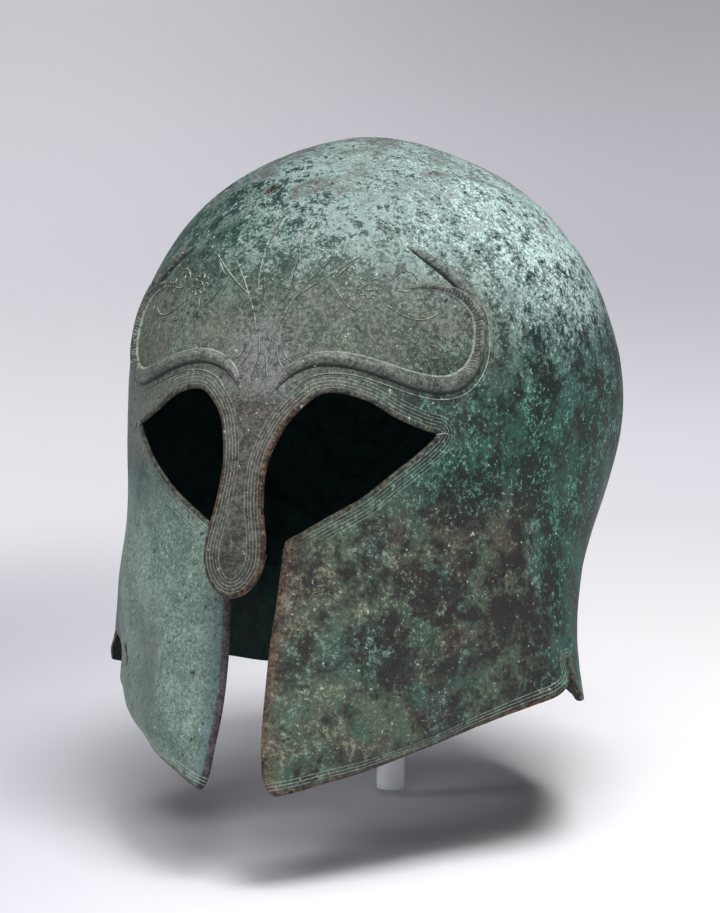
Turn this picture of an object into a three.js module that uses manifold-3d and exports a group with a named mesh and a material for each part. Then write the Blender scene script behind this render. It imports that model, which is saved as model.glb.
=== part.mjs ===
// A bronze Corinthian helmet on a plain display stand.
// Millimetres, +Z up. The helmet faces -Y, and its wearer's left side is +X.
// The origin is on the ground, under the upright axis of the dome.
import * as THREE from 'three';
import { mergeVertices } from 'three/addons/utils/BufferGeometryUtils.js';
import Module from 'manifold-3d';

const wasm = await Module();
wasm.setup();

// ---- driving dimensions -------------------------------------------------------------
const TIP_CLEARANCE = 38;        // ground to the cheek tips
const HELMET_HEIGHT = 245;       // cheek tips to crown
const WALL = 1.8;                // hammered sheet
const NOSE_THICKNESS = 3.2;      // the nose guard is left thicker
const RIDGE_HEIGHT = 2.0;        // brow ridge, above the sheet
const RIDGE_FULL = 2.8;          // half-width from which the ridge has its full height
const RIDGE_SINK = 0.8;          // how far the ridge solid runs into the sheet
const RIM_FLARE = 11;            // how far the rim turns out beside the rear notch
const FLARE_ANGLE = 65.3;        // where it turns out most, degrees round from the face
const FLARE_SPREAD = 11.8;
const FLARE_TOP = 82;            // height where the flare has faded out
const FLARE_FULL = 23;           // height where it is full
const FLARE_MOST = 1.3;          // share of it that is reached lower still
const FLARE_RISE = 1.2;          // power of its rise
const TOUCH_GAP = 0.3;           // between pieces that rest on each other

const BASE_RADIUS = 55;
const BASE_THICKNESS = 4;
const BASE_BEVEL = 0.6;
const BASE_Y = 8;
const POST_RADIUS = 6;
const POST_Y = 20;
const PAD_RADIUS = 26;
const PAD_DEPTH = 14;

// How finely the solids are faceted.
const OUTER_STEPS = { round: 72, down: 34 };
const INNER_STEPS = { round: 48, down: 24 };
const NOSE_STEPS = 8;
const RIDGE_STEPS = { main: 38, barb: 12, over: 5 };
const WEDGE_RINGS = [45, 75, 87, 99, 111, 123, 135, 150, 230];
const WEDGE_STEP = 8;            // degrees, the longest stretch of a wedge's side
const BASE_SIDES = 48;
const PAD_SIDES = 40;
const POST_SIDES = 32;

// Half-sections of the outside of the bronze. Each row is a height above the cheek tips,
// then the distance from the dome's axis at 0, 30, 60 ... 180 degrees round from the face.
const SECTION_STEP = 30;
const SECTIONS = [
  { height: 245, radii: [0, 0, 0, 0, 0, 0, 0] },
  { height: 240, radii: [38, 34, 29, 26.5, 28, 34, 38] },
  { height: 226, radii: [67, 64, 59, 55, 58, 67, 72] },
  { height: 203, radii: [92, 87, 82.5, 80.5, 83, 93, 99] },
  { height: 175, radii: [107.5, 103.5, 97, 95.5, 98.5, 108, 113] },
  { height: 146, radii: [117, 111, 102, 101, 106, 113.5, 116.5] },
  { height: 118, radii: [119, 114, 101.5, 99, 104.5, 110, 112] },
  { height: 90, radii: [120, 114, 102, 94, 96.5, 100.5, 102.5] },
  { height: 63, radii: [125.5, 117.5, 104.5, 90.5, 85.5, 91, 95] },
  { height: 39, radii: [131, 117, 103.5, 89.5, 82.5, 88.5, 95] },
  { height: 17, radii: [138, 116, 102, 93, 85.5, 93, 99] },
  { height: 0, radii: [142, 104, 92, 93.5, 89.5, 97, 106] },
  { height: -18, radii: [145, 98, 88, 92.5, 92.5, 100, 110] },
];

// Outlines on the sheet, as [degrees round from the face, height above the cheek tips].
const CHEEK_FRONT = [
  [5.9, -0.2], [4.9, 4], [4.2, 12], [3.75, 24], [3.6, 41], [3.8, 53], [4.4, 68], [5.1, 86], [5.5, 92.3],
];
const EYE_LOWER = [[9, 96.5], [14.5, 103], [20, 109.5], [25, 117.5], [29.5, 124], [33.4, 130.2]];
const EYE_UPPER = [
  [34.2, 132], [32, 133.2], [28.5, 136], [25, 139.5], [22, 143.3],
  [18.5, 146.3], [14.5, 148], [11, 147], [8.5, 145],
];
const NOSE_ROOT = [[5, 144], [0, 144]];
const CHEEK_RIM = [
  [5.2, -0.6], [7.6, 0.2], [9.3, 1], [11.8, 2.3], [14.5, 3.6], [17.7, 4.8], [22.8, 7.3],
  [28, 10.1], [34.8, 13.4], [42.6, 17.7], [51.7, 22.5], [58.3, 26],
];
const REAR_NOTCH = [
  [62.8, 28.5], [65.4, 31.4], [66.6, 34.3], [66.7, 36.6], [66.2, 39.5], [67.3, 34], [68.4, 28.5], [69.4, 25],
];
const NOTCH_END = REAR_NOTCH.at(-1);

// Edge of the neck guard, from the notch to the middle of the back. It hangs lower on the
// wearer's left by its skew, and higher on the right.
const NECK_RIM = [
  { angle: 76, height: 21.4, skew: 0.2 },
  { angle: 84, height: 19, skew: 1.4 },
  { angle: 96, height: 16.4, skew: 2.9 },
  { angle: 106, height: 14, skew: 4 },
  { angle: 118, height: 10.9, skew: 2.8 },
  { angle: 126, height: 9.7, skew: 1.6 },
  { angle: 140, height: 9.2, skew: 0.8 },
  { angle: 180, height: 10, skew: 0 },
];

// Losses on the wearer's right: the cheek's torn rear corner, with a slit above it, and two
// small holes beside it.
const TORN_CORNER = [
  [-50.9, 31], [-51.1, 37.5], [-53.5, 39.5], [-60, 40.5], [-64.6, 44], [-65.8, 52],
  [-66.4, 44], [-67.2, 36], [-67.8, 29], [-60, 22], [-52, 22],
];
const HOLES = [
  [[-45.9, 39], [-43.8, 40.6], [-42.6, 39.3], [-44.3, 37.7]],
  [[-43.4, 37.2], [-42.4, 37.2], [-42.3, 33.8], [-43.3, 33.6]],
];
const PINHOLE = { angle: -13.6, height: 223, radius: 1.3, reach: 6, sides: 8 };
const BELOW_ALL = -30;           // a height under everything, where the cuts end

// Nose guard: height, half-width, how far its face stands in front of the dome's axis, and
// its bow, which is how much it curves back to its sides, per mm.
const NOSE_ROWS = [
  { height: 74, halfWidth: 1.2, reach: 144.3, bow: 0.004 },
  { height: 75.2, halfWidth: 4.8, reach: 144, bow: 0.004 },
  { height: 78.5, halfWidth: 8.6, reach: 143.2, bow: 0.004 },
  { height: 83, halfWidth: 11.4, reach: 142.1, bow: 0.004 },
  { height: 89, halfWidth: 12.6, reach: 140.8, bow: 0.004 },
  { height: 97, halfWidth: 11.9, reach: 138.8, bow: 0.004 },
  { height: 105, halfWidth: 10.2, reach: 136.6, bow: 0.004 },
  { height: 115, halfWidth: 9.1, reach: 133.3, bow: 0.004 },
  { height: 122, halfWidth: 9.1, reach: 130.5, bow: 0.004 },
  { height: 130, halfWidth: 10.8, reach: 126.6, bow: 0.005 },
  { height: 138, halfWidth: 14.4, reach: 122.2, bow: 0.007 },
  { height: 142, halfWidth: 17.3, reach: 120, bow: 0.008 },
  { height: 146, halfWidth: 20, reach: 118, bow: 0.009 },
  { height: 151, halfWidth: 22, reach: 115.8, bow: 0.009 },
  { height: 156, halfWidth: 22, reach: 113.4, bow: 0.009 },
];

// Brow ridge: centre line and half-width. It rises from the nose, runs over the eye, turns
// up at the temple and forks into a fine curl and a longer barb.
const RIDGE_MAIN = [
  { angle: 4.4, height: 152, halfWidth: 1.2 },
  { angle: 6.2, height: 156, halfWidth: 2.1 },
  { angle: 8.8, height: 158.8, halfWidth: 2.5 },
  { angle: 12, height: 160.2, halfWidth: 2.8 },
  { angle: 16, height: 159.9, halfWidth: 2.9 },
  { angle: 21, height: 157.7, halfWidth: 3 },
  { angle: 26, height: 154.3, halfWidth: 3.1 },
  { angle: 31, height: 151.3, halfWidth: 3.3 },
  { angle: 35.5, height: 150.2, halfWidth: 3.4 },
  { angle: 39.5, height: 152, halfWidth: 3.3 },
  { angle: 42.3, height: 156.4, halfWidth: 3 },
  { angle: 44, height: 162, halfWidth: 2.8 },
  { angle: 44.9, height: 168.5, halfWidth: 2.8 },
  { angle: 45, height: 175, halfWidth: 3 },
  { angle: 43.4, height: 180.3, halfWidth: 3 },
  { angle: 40.4, height: 184, halfWidth: 2.3 },
  { angle: 36.5, height: 186, halfWidth: 1.6 },
  { angle: 32.5, height: 186.4, halfWidth: 1.1 },
  { angle: 29, height: 186, halfWidth: 0.5 },
];
const RIDGE_BARB = [
  { angle: 44.6, height: 178, halfWidth: 2.2 },
  { angle: 43.6, height: 183, halfWidth: 2.4 },
  { angle: 41.5, height: 187.4, halfWidth: 2.3 },
  { angle: 39, height: 191, halfWidth: 2.1 },
  { angle: 36, height: 194.6, halfWidth: 1.7 },
  { angle: 33, height: 197.8, halfWidth: 1.1 },
  { angle: 30, height: 200.7, halfWidth: 0.5 },
];

const COLOURS = {
  bronze: { color: 0x5f7f76, roughness: 0.62, metalness: 0.35 },
  clear: { color: 0xdfe6ea, roughness: 0.12, metalness: 0 },
  pad: { color: 0xc9ccce, roughness: 0.9, metalness: 0 },
};

// ---- the curved sheet ---------------------------------------------------------------
const radians = THREE.MathUtils.degToRad;

// Solves for cosine weights that pass through the radii of one section.
function cosineWeights(radii) {
  const n = radii.length;
  const rows = radii.map((radius, i) => {
    const angle = radians(SECTION_STEP * i);
    return [...Array.from({ length: n }, (_, k) => Math.cos(k * angle)), radius];
  });
  for (let i = 0; i < n; i += 1) {
    const sizes = rows.map((row, j) => (j < i ? 0 : Math.abs(row[i])));
    const pivot = sizes.indexOf(Math.max(...sizes));
    [rows[i], rows[pivot]] = [rows[pivot], rows[i]];
    rows.forEach((row, j) => {
      const factor = j === i ? 0 : row[i] / rows[i][i];
      rows[i].forEach((value, k) => {
        row[k] -= factor * value;
      });
    });
  }
  return rows.map((row, i) => row[n] / row[i]);
}

// Natural cubic spline through values at whole-number steps.
function naturalSpline(values) {
  const n = values.length;
  const bend = new Array(n).fill(0);
  const upper = new Array(n).fill(0);
  for (let i = 1; i < n - 1; i += 1) {
    const pull = 6 * (values[i + 1] - 2 * values[i] + values[i - 1]);
    const weight = 4 - upper[i - 1];
    upper[i] = 1 / weight;
    bend[i] = (pull - bend[i - 1]) / weight;
  }
  for (let i = n - 2; i > 0; i -= 1) bend[i] -= upper[i] * bend[i + 1];
  return (at) => {
    const i = Math.min(Math.max(Math.floor(at), 0), n - 2);
    const b = at - i;
    const a = 1 - b;
    const straight = a * values[i] + b * values[i + 1];
    return straight + ((a ** 3 - a) * bend[i] + (b ** 3 - b) * bend[i + 1]) / 6;
  };
}

// The rows are carried on over the crown, so that the surface is smooth there.
const OVER_CROWN = 2;
const mirrored = SECTIONS.slice(1, 1 + OVER_CROWN).reverse();
const heightSpline = naturalSpline([...mirrored, ...SECTIONS].map((row) => row.height));
const weights = SECTIONS.map((row) => cosineWeights(row.radii));
const overWeights = mirrored.map((row) => cosineWeights(row.radii).map((w) => -w));
const allWeights = [...overWeights, ...weights];
const weightSplines = weights[0].map((_, k) => naturalSpline(allWeights.map((w) => w[k])));
const LAST_ROW = SECTIONS.length - 1;
const ROW_OVERLAP = 0.3;         // the hollow runs this much of a row past the outside

function flareAt(angle, height) {
  const share = (FLARE_TOP - height) / (FLARE_TOP - FLARE_FULL);
  const rise = THREE.MathUtils.clamp(share, 0, FLARE_MOST) ** FLARE_RISE;
  return RIM_FLARE * rise * Math.exp(-(((Math.abs(angle) - FLARE_ANGLE) / FLARE_SPREAD) ** 2));
}

// Point of the outside at a row position (0 at the crown) and an angle in degrees.
function sheetPoint(row, angle) {
  const at = row + OVER_CROWN;
  const height = heightSpline(at);
  const turn = radians(angle);
  const bare = weightSplines.reduce((sum, spline, k) => sum + spline(at) * Math.cos(k * turn), 0);
  const radius = bare + flareAt(angle, height);
  return new THREE.Vector3(radius * Math.sin(turn), -radius * Math.cos(turn), height + TIP_CLEARANCE);
}

function sheetNormal(row, angle) {
  const nudge = 0.01;
  const down = sheetPoint(row + nudge, angle).sub(sheetPoint(row - nudge, angle));
  const round = sheetPoint(row, angle + 1).sub(sheetPoint(row, angle - 1));
  return round.cross(down).normalize().negate();
}

// Row position of a height, by halving.
function rowAt(height) {
  let low = 0;
  let high = LAST_ROW;
  for (let i = 0; i < 40; i += 1) {
    const middle = (low + high) / 2;
    if (heightSpline(middle + OVER_CROWN) > height) low = middle;
    else high = middle;
  }
  return (low + high) / 2;
}

// ---- solids -------------------------------------------------------------------------
function solidFrom(points, triangles) {
  return new wasm.Manifold(new wasm.Mesh({
    numProp: 3,
    vertProperties: Float32Array.from(points.flatMap((p) => [p.x, p.y, p.z])),
    triVerts: Uint32Array.from(triangles.flat()),
  }));
}

function solidOf(geometry) {
  const bare = geometry.clone();
  bare.deleteAttribute('normal');
  bare.deleteAttribute('uv');
  const merged = mergeVertices(bare, 1e-4);
  return new wasm.Manifold(new wasm.Mesh({
    numProp: 3,
    vertProperties: Float32Array.from(merged.attributes.position.array),
    triVerts: Uint32Array.from(merged.index.array),
  }));
}

function geometryOf(solid) {
  const mesh = solid.getMesh();
  const geometry = new THREE.BufferGeometry();
  geometry.setAttribute('position', new THREE.BufferAttribute(Float32Array.from(mesh.vertProperties), 3));
  geometry.setIndex(new THREE.BufferAttribute(Uint32Array.from(mesh.triVerts), 1));
  geometry.computeVertexNormals();
  return geometry;
}

// A closed body inside the sheet's outer surface, moved in by a depth and cut flat below.
function domeBody(depth, steps, lastRow) {
  const at = (row, angle) => sheetPoint(row, angle).addScaledVector(sheetNormal(row, angle), -depth);
  const crown = sheetPoint(0, 0).add(new THREE.Vector3(0, 0, -depth));
  const points = [crown];
  const triangles = [];
  for (let i = 1; i <= steps.down; i += 1) {
    for (let j = 0; j < steps.round; j += 1) {
      points.push(at((lastRow * i) / steps.down, (360 * j) / steps.round - 180));
    }
  }
  const index = (i, j) => 1 + (i - 1) * steps.round + (j % steps.round);
  for (let j = 0; j < steps.round; j += 1) {
    triangles.push([0, index(1, j), index(1, j + 1)]);
    for (let i = 1; i < steps.down; i += 1) {
      triangles.push([index(i, j), index(i + 1, j), index(i + 1, j + 1)]);
      triangles.push([index(i, j), index(i + 1, j + 1), index(i, j + 1)]);
    }
  }
  const bottom = points.length;
  points.push(new THREE.Vector3(0, 0, points[bottom - 1].z));
  for (let j = 0; j < steps.round; j += 1) {
    triangles.push([bottom, index(steps.down, j + 1), index(steps.down, j)]);
  }
  return solidFrom(points, triangles);
}

// A wedge through the sheet whose sides point at the dome's axis. The outline is a list of
// [angle, height], listed either way round.
function wedge(outline) {
  const dense = [];
  outline.forEach(([angle, height], i) => {
    const [nextAngle, nextHeight] = outline[(i + 1) % outline.length];
    const next = new THREE.Vector2(nextAngle, nextHeight);
    const parts = Math.max(1, Math.ceil(Math.abs(nextAngle - angle) / WEDGE_STEP));
    for (let k = 0; k < parts; k += 1) {
      dense.push(new THREE.Vector2(angle, height).lerp(next, k / parts));
    }
  });
  if (THREE.ShapeUtils.isClockWise(dense)) dense.reverse();
  const n = dense.length;
  const place = (p, radius) => new THREE.Vector3(
    radius * Math.sin(radians(p.x)),
    -radius * Math.cos(radians(p.x)),
    p.y + TIP_CLEARANCE,
  );
  const points = WEDGE_RINGS.flatMap((radius) => dense.map((p) => place(p, radius)));
  const triangles = [];
  const far = (WEDGE_RINGS.length - 1) * n;
  THREE.ShapeUtils.triangulateShape(dense, []).forEach(([a, b, c]) => {
    triangles.push([c, b, a]);
    triangles.push([a + far, b + far, c + far]);
  });
  for (let ring = 0; ring < far; ring += n) {
    for (let i = 0; i < n; i += 1) {
      const j = (i + 1) % n;
      triangles.push([ring + i, ring + j, ring + j + n]);
      triangles.push([ring + i, ring + j + n, ring + i + n]);
    }
  }
  return solidFrom(points, triangles);
}

const flip = (outline) => outline.map(([angle, height]) => [-angle, height]).reverse();

// Both eyes and the slot between the cheeks, in one outline.
function faceOpening() {
  const half = [[CHEEK_FRONT[0][0], BELOW_ALL], ...CHEEK_FRONT, ...EYE_LOWER, ...EYE_UPPER, ...NOSE_ROOT];
  return wedge([...half, ...flip(half).slice(1)]);
}

// Everything under the rim on one side, from the gap between the cheeks round to the notch.
function underCheek(side) {
  const [tipAngle, tipHeight] = CHEEK_RIM[0];
  const start = [[tipAngle - 2, BELOW_ALL], [tipAngle - 2, tipHeight]];
  const outline = [...start, ...CHEEK_RIM, ...REAR_NOTCH, [NOTCH_END[0] + 4, BELOW_ALL]];
  return wedge(side > 0 ? outline : flip(outline));
}

// The same under the neck guard, past the middle of the back.
function underNeck(side) {
  const rim = NECK_RIM.map(({ angle, height, skew }) => [angle, height - side * skew]);
  const past = 180 + WEDGE_STEP;
  const finish = [[past, NECK_RIM.at(-1).height], [past, BELOW_ALL]];
  const outline = [[NOTCH_END[0], BELOW_ALL], NOTCH_END, ...rim, ...finish];
  return wedge(side > 0 ? outline : flip(outline));
}

function noseGuard() {
  const across = NOSE_STEPS;
  const points = [];
  const triangles = [];
  const ring = 2 * (across + 1);
  NOSE_ROWS.forEach(({ height, halfWidth, reach, bow }) => {
    const place = (share, depth) => {
      const x = halfWidth * share;
      points.push(new THREE.Vector3(x, -reach + depth + bow * x * x, height + TIP_CLEARANCE));
    };
    for (let k = 0; k <= across; k += 1) place((2 * k) / across - 1, 0);
    for (let k = across; k >= 0; k -= 1) place((2 * k) / across - 1, NOSE_THICKNESS);
  });
  const last = (NOSE_ROWS.length - 1) * ring;
  for (let i = 0; i < NOSE_ROWS.length - 1; i += 1) {
    for (let k = 0; k < ring; k += 1) {
      const a = i * ring + k;
      const b = i * ring + ((k + 1) % ring);
      triangles.push([a, b, b + ring]);
      triangles.push([a, b + ring, a + ring]);
    }
  }
  for (let k = 0; k < across; k += 1) {
    const front = [k, k + 1];
    const behind = [ring - 1 - k, ring - 2 - k];
    triangles.push([front[0], behind[0], behind[1]]);
    triangles.push([front[0], behind[1], front[1]]);
    triangles.push([last + front[0], last + behind[1], last + behind[0]]);
    triangles.push([last + front[0], last + front[1], last + behind[1]]);
  }
  return solidFrom(points, triangles);
}

// A raised band along a line of the sheet, rounded over and tapering with its half-width.
function ridge(rows, side, steps) {
  const keys = ['angle', 'height', 'halfWidth'];
  const splines = keys.map((key) => naturalSpline(rows.map((row) => row[key])));
  const station = (at) => {
    const [angle, height, halfWidth] = splines.map((spline) => spline(at));
    const row = rowAt(height);
    return { point: sheetPoint(row, side * angle), normal: sheetNormal(row, side * angle), halfWidth };
  };
  const crestAt = (halfWidth) => RIDGE_HEIGHT * Math.min(1, halfWidth / RIDGE_FULL);
  const over = RIDGE_STEPS.over;
  const points = [];
  const triangles = [];
  const ring = over + 1;
  for (let i = 0; i <= steps; i += 1) {
    const at = ((rows.length - 1) * i) / steps;
    const { point, normal, halfWidth } = station(at);
    const ahead = station(Math.min(at + 0.05, rows.length - 1)).point;
    const behind = station(Math.max(at - 0.05, 0)).point;
    const along = ahead.sub(behind).normalize();
    const across = new THREE.Vector3().crossVectors(normal, along).normalize();
    for (let k = 0; k <= over; k += 1) {
      const turn = (Math.PI * k) / over;
      const lift = -RIDGE_SINK + (crestAt(halfWidth) + RIDGE_SINK) * Math.sin(turn);
      const sideways = -halfWidth * Math.cos(turn);
      points.push(point.clone().addScaledVector(across, sideways).addScaledVector(normal, lift));
    }
  }
  for (let i = 0; i < steps; i += 1) {
    for (let k = 0; k < ring; k += 1) {
      const a = i * ring + k;
      const b = i * ring + ((k + 1) % ring);
      triangles.push([a, b + ring, b]);
      triangles.push([a, a + ring, b + ring]);
    }
  }
  const last = steps * ring;
  for (let k = 1; k < over; k += 1) {
    triangles.push([0, k, k + 1]);
    triangles.push([last, last + k + 1, last + k]);
  }
  return solidFrom(points, triangles);
}

function pinhole() {
  const { angle, height, radius, reach, sides } = PINHOLE;
  const row = rowAt(height);
  const drill = new THREE.CylinderGeometry(radius, radius, 2 * reach, sides);
  const upright = new THREE.Vector3(0, 1, 0);
  drill.applyQuaternion(new THREE.Quaternion().setFromUnitVectors(upright, sheetNormal(row, angle)));
  const at = sheetPoint(row, angle);
  drill.translate(at.x, at.y, at.z);
  return solidOf(drill);
}

// ---- the pieces ---------------------------------------------------------------------
function helmetShell() {
  const outer = domeBody(0, OUTER_STEPS, LAST_ROW - ROW_OVERLAP);
  const inner = domeBody(WALL, INNER_STEPS, LAST_ROW);
  let shell = outer.subtract(inner);
  shell = shell.subtract(faceOpening());
  shell = shell.add(noseGuard());
  [1, -1].forEach((side) => {
    shell = shell.add(ridge(RIDGE_MAIN, side, RIDGE_STEPS.main));
    shell = shell.add(ridge(RIDGE_BARB, side, RIDGE_STEPS.barb));
    shell = shell.subtract(underCheek(side));
    shell = shell.subtract(underNeck(side));
  });
  [TORN_CORNER, ...HOLES].forEach((outline) => {
    shell = shell.subtract(wedge(outline));
  });
  return shell.subtract(pinhole());
}

function standBase() {
  const inset = BASE_RADIUS - BASE_BEVEL;
  const profile = [
    [0, 0], [inset, 0], [BASE_RADIUS, BASE_BEVEL],
    [BASE_RADIUS, BASE_THICKNESS - BASE_BEVEL], [inset, BASE_THICKNESS], [0, BASE_THICKNESS],
  ].map(([x, y]) => new THREE.Vector2(x, y));
  return new THREE.LatheGeometry(profile, BASE_SIDES).rotateX(Math.PI / 2).translate(0, BASE_Y, 0);
}

// A soft block under the crown: a cylinder trimmed by the inside of the dome.
const crownHeight = TIP_CLEARANCE + HELMET_HEIGHT;
const padBottom = crownHeight - WALL - PAD_DEPTH;

function standPad() {
  const block = new THREE.CylinderGeometry(PAD_RADIUS, PAD_RADIUS, 2 * PAD_DEPTH, PAD_SIDES);
  block.rotateX(Math.PI / 2).translate(0, POST_Y, padBottom + PAD_DEPTH);
  return solidOf(block).intersect(domeBody(WALL + TOUCH_GAP, OUTER_STEPS, LAST_ROW));
}

function standPost() {
  const bottom = BASE_THICKNESS + TOUCH_GAP;
  const length = padBottom - TOUCH_GAP - bottom;
  const rod = new THREE.CylinderGeometry(POST_RADIUS, POST_RADIUS, length, POST_SIDES);
  return rod.rotateX(Math.PI / 2).translate(0, POST_Y, bottom + length / 2);
}

function piece(name, geometry, look) {
  const mesh = new THREE.Mesh(geometry, new THREE.MeshStandardMaterial(look));
  mesh.name = name;
  return mesh;
}

const group = new THREE.Group();
group.add(piece('helmet_shell', geometryOf(helmetShell()), COLOURS.bronze));
group.add(piece('stand_base', standBase(), COLOURS.clear));
group.add(piece('stand_post', standPost(), COLOURS.clear));
group.add(piece('stand_pad', geometryOf(standPad()), COLOURS.pad));

export default group;
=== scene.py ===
import bpy
import numpy as np
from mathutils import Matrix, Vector


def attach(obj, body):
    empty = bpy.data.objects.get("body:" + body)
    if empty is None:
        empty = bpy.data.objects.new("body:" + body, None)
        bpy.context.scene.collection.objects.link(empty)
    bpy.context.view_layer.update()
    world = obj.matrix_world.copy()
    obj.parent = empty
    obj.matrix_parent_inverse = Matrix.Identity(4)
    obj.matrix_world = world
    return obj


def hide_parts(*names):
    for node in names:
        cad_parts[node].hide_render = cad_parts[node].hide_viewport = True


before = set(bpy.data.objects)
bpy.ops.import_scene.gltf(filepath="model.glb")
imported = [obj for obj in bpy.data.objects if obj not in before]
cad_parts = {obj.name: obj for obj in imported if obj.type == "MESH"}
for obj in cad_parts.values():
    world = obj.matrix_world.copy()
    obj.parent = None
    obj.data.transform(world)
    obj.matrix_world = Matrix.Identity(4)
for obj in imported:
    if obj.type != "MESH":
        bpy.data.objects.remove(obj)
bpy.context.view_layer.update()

# ---- camera ----------------------------------------------------------------------------------
# A long lens one metre off, a little above the helmet's brow and to its wearer's left.
camera = bpy.data.objects.new("camera", bpy.data.cameras.new("camera"))
bpy.context.scene.collection.objects.link(camera)
CAMERA_AIM = Vector((-0.00153, -0.01162, 0.15119))
CAMERA_FROM_AIM = Vector((0.37254, -0.92208, 0.10453))
camera.location = CAMERA_AIM + CAMERA_FROM_AIM
camera.rotation_euler = (CAMERA_AIM - camera.location).to_track_quat("-Z", "Y").to_euler()
camera.data.lens = 120.4
camera.data.sensor_width = 36
camera.data.sensor_fit = "HORIZONTAL"
bpy.context.scene.camera = camera
bpy.context.scene.view_settings.view_transform = "Standard"


# ---- the bronze sheet ------------------------------------------------------------------------
# Dome, cheek pieces, neck guard and nose guard are one sheet of bronze, hammered up over stakes.
# It is widest above the ears, drawn in at the nape, and its rim is turned out at the back corners.
TIP_CLEARANCE = 38
WALL = 1.8
NOSE_WALL = 3.2
FLARE = {
    "reach": 11, "angle": 65.3, "spread": 11.8,
    "top": 82, "fall": 59, "most": 1.3, "rise": 1.2,
}
CHEEK_BEND = {"reach": 4.9, "angle": -38, "front": 18, "rear": 13}
CORNER_BEND = 2.4
SECTION_HEIGHTS = [245, 240, 226, 203, 175, 146, 118, 90, 63, 39, 17, 0, -18]
SECTION_RADII = [  # from the dome's axis, at 0, 30, 60 ... 180 degrees round from the face
    [0, 0, 0, 0, 0, 0, 0],
    [38, 34, 29, 26.5, 28, 34, 38],
    [67, 64, 59, 55, 58, 67, 72],
    [92, 87, 82.5, 80.5, 83, 93, 99],
    [107.5, 103.5, 97, 95.5, 98.5, 108, 113],
    [117, 111, 102, 101, 106, 113.5, 116.5],
    [119, 114, 101.5, 99, 104.5, 110, 112],
    [120, 114, 102, 94, 96.5, 100.5, 102.5],
    [125.5, 117.5, 104.5, 90.5, 85.5, 91, 95],
    [131, 117, 103.5, 89.5, 82.5, 88.5, 95],
    [138, 116, 102, 93, 85.5, 93, 99],
    [142, 104, 92, 93.5, 89.5, 97, 106],
    [145, 98, 88, 92.5, 92.5, 100, 110],
]


def smooth_through(places, values):
    """Natural cubic spline through values at rising places, as a function of whole arrays."""
    places = np.asarray(places, float)
    values = np.asarray(values, float).reshape(len(places), -1)
    gap = np.diff(places)
    slope = np.diff(values, axis=0) / gap[:, None]
    system = np.eye(len(places))
    inner = np.arange(1, len(places) - 1)
    system[inner, inner] = 2 * (gap[:-1] + gap[1:])
    system[inner, inner - 1] = gap[:-1]
    system[inner, inner + 1] = gap[1:]
    pull = np.zeros_like(values)
    pull[1:-1] = 6 * np.diff(slope, axis=0)
    bend = np.linalg.solve(system, pull)

    def at(where):
        where = np.asarray(where, float)
        i = np.clip(np.searchsorted(places, where, side="right") - 1, 0, len(places) - 2)
        h = gap[i][..., None]
        b = (where[..., None] - places[i][..., None]) / h
        a = 1 - b
        curve = (a**3 - a) * bend[i] + (b**3 - b) * bend[i + 1]
        return a * values[i] + b * values[i + 1] + curve * h * h / 6

    return at


turns = np.radians(30) * np.arange(7)
WAVES = np.arange(7)
cosine_weights = np.array(SECTION_RADII) @ np.linalg.inv(np.cos(turns[:, None] * WAVES)).T
section_rows = np.arange(-2, len(SECTION_HEIGHTS))
weights_at = smooth_through(section_rows, np.vstack([-cosine_weights[2:0:-1], cosine_weights]))
height_at = smooth_through(section_rows, SECTION_HEIGHTS[2:0:-1] + SECTION_HEIGHTS)
row_table = np.linspace(0, len(SECTION_HEIGHTS) - 1, 6001)
height_table = height_at(row_table)[:, 0]


def row_of(height):
    """Row position of a height, read back from the table of heights."""
    return np.interp(-np.asarray(height, float), -height_table, row_table)


def dome_point(angle, row):
    """Point of the sheet's outside: the radius is a sum of cosines of the angle, whose weights run
    smoothly down the rows, plus a bell-shaped flare of the rim beside each rear notch."""
    height = height_at(row)[..., 0]
    turn = np.radians(angle)
    radius = (weights_at(row) * np.cos(turn[..., None] * WAVES)).sum(-1)
    rise = np.clip((FLARE["top"] - height) / FLARE["fall"], 0, FLARE["most"])
    beside = (np.abs(angle) - FLARE["angle"]) / FLARE["spread"]
    radius = radius + FLARE["reach"] * rise ** FLARE["rise"] * np.exp(-(beside**2))
    return np.stack([radius * np.sin(turn), -radius * np.cos(turn), height + TIP_CLEARANCE], -1)


# The nose guard, from its tip up to where it joins the brow.
NOSE_HEIGHTS = [74, 75.2, 78.5, 83, 89, 97, 105, 115, 122, 130, 138, 142, 146, 151, 156, 162]
NOSE_HALF_WIDTHS = [
    0.6, 4.8, 8.6, 11.4, 12.6, 11.9, 10.2, 9.1, 9.1,
    10.8, 14.4, 17.3, 20, 22.5, 23, 23,
]
NOSE_REACHES = [
    144.3, 144, 143.2, 142.1, 140.8, 138.8, 136.6, 133.3, 130.5,
    126.7, 122.4, 120.2, 118, 115.6, 112.6, 108,
]
reach_at = smooth_through(NOSE_HEIGHTS, NOSE_REACHES)


def between(low, high, value):
    """Rises smoothly from 0 at low to 1 at high."""
    t = np.clip((value - low) / (high - low), 0, 1)
    return t * t * (3 - 2 * t)


def nose_spread(height):
    """Millimetres across the nose guard for each degree of the sheet's grid."""
    return 2.6 - 0.56 * between(105, 147, height)


def nose_limit(height):
    """Degrees from the middle within which a point belongs to the nose guard, not to a cheek."""
    return np.interp(height, [70, 78, 83, 89, 112, 124, 125], [3.6, 3.9, 4.6, 5, 5, 7, 16])


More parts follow.
